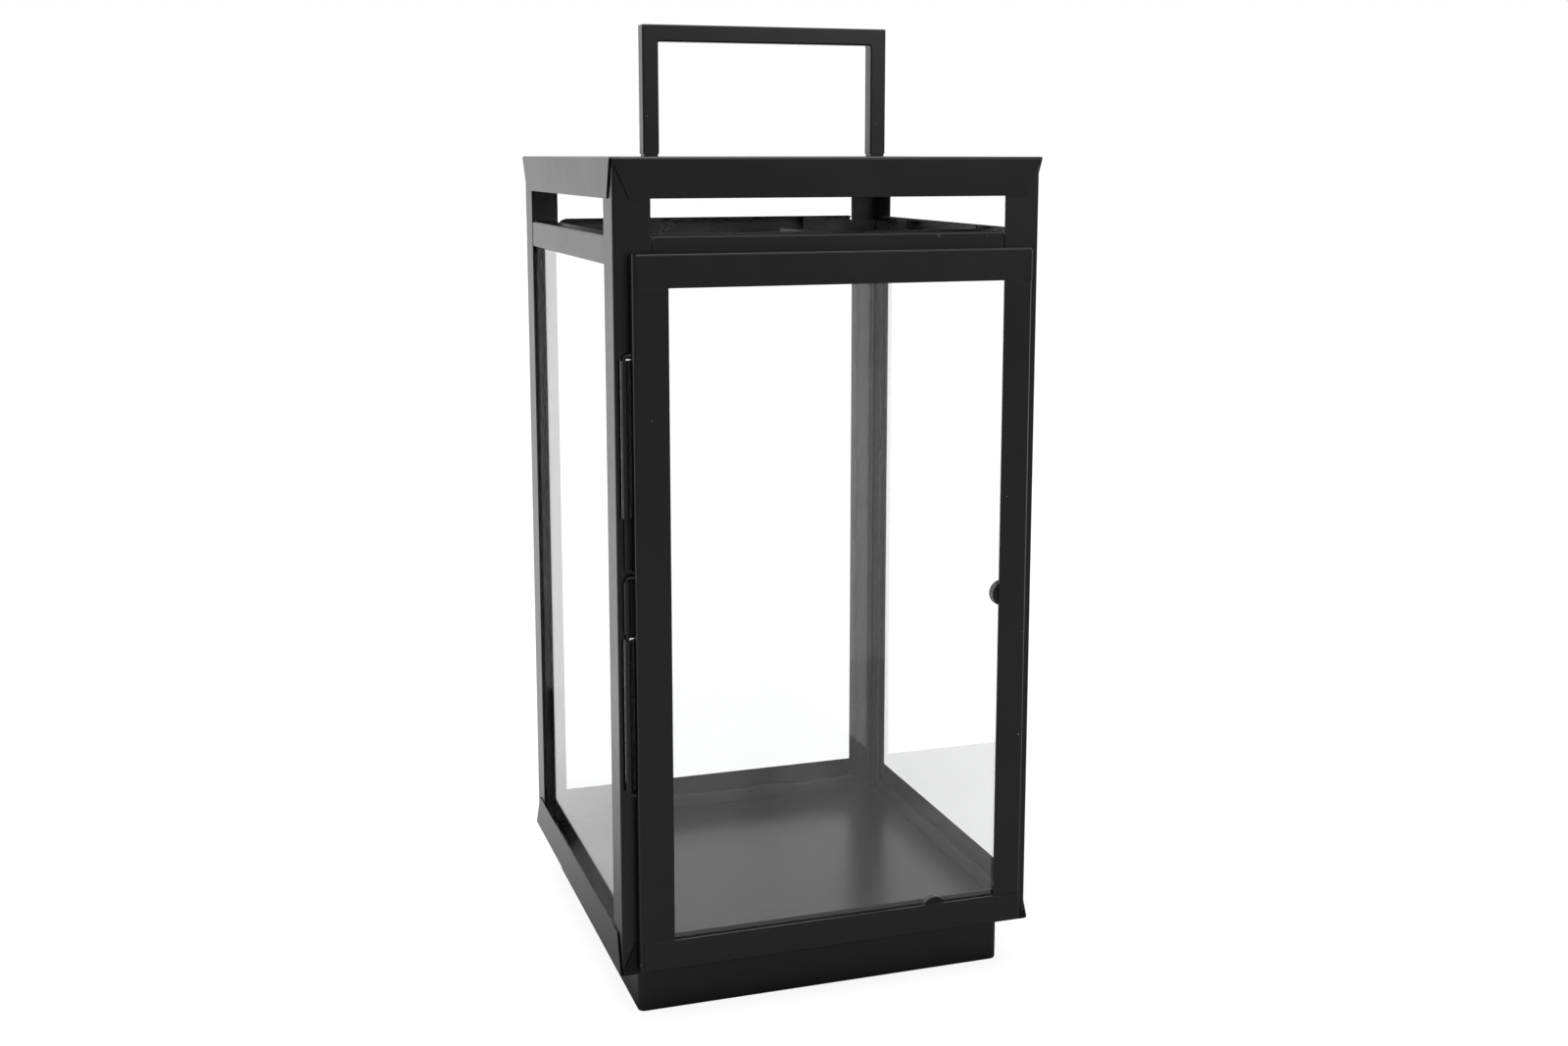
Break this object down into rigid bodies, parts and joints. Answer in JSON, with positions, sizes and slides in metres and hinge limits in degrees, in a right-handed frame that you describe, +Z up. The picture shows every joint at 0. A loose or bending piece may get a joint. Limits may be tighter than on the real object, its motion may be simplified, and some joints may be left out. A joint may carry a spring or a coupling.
{
  "type": "candle lantern",
  "caption": "Square sheet-metal candle lantern with glazed sides, a hinged glazed door, a slotted top, a plinth and a square carrying handle.",
  "frame": {"origin": "middle of the flat face that the plinth stands on", "axes": "+X to the right along the front, +Y from the door to the rear, +Z up"},
  "size_m": [0.2532, 0.2596, 0.5655],
  "materials": {
    "coated_steel": "satin black powder coat",
    "coated_wire": "satin black coated wire",
    "coated_insert": "dark coated plug",
    "plated_steel": "zinc plated",
    "clear_glass": "clear float glass",
    "silicone": "dull grey-black glazing silicone, smeared by hand",
    "magnet": "black disc magnet"
  },
  "bodies": {
    "frame": {"plinth": "coated_steel", "base_tray": "coated_steel", "top_cap": "coated_steel", "post_front_left": "coated_steel", "post_front_right": "coated_steel", "post_rear_left": "coated_steel", "post_rear_right": "coated_steel", "rail_front": "coated_steel", "rail_rear": "coated_steel", "rail_left": "coated_steel", "rail_right": "coated_steel", "pane_left": "clear_glass", "pane_right": "clear_glass", "pane_rear": "clear_glass", "silicone_left": "silicone", "silicone_right": "silicone", "silicone_rear": "silicone", "handle": "coated_steel", "handle_inserts": "coated_insert", "handle_washers": "plated_steel", "handle_screws": "plated_steel"},
    "door": {"door_stile_left": "coated_steel", "door_stile_right": "coated_steel", "door_rail_top": "coated_steel", "door_rail_bottom": "coated_steel", "door_pane": "clear_glass", "door_pane_bead": "silicone", "hinge_wire_upper": "coated_wire", "hinge_wire_lower": "coated_wire", "catch_magnet": "magnet", "bottom_magnet": "magnet"}
  },
  "joints": [
    {"name": "door_hinge", "type": "hinge", "parent": "frame", "child": "door", "pos_m": [-0.12, -0.12705, 0.2595], "axis": [0, 0, -1], "range_deg": [0, 130]}
  ]
}
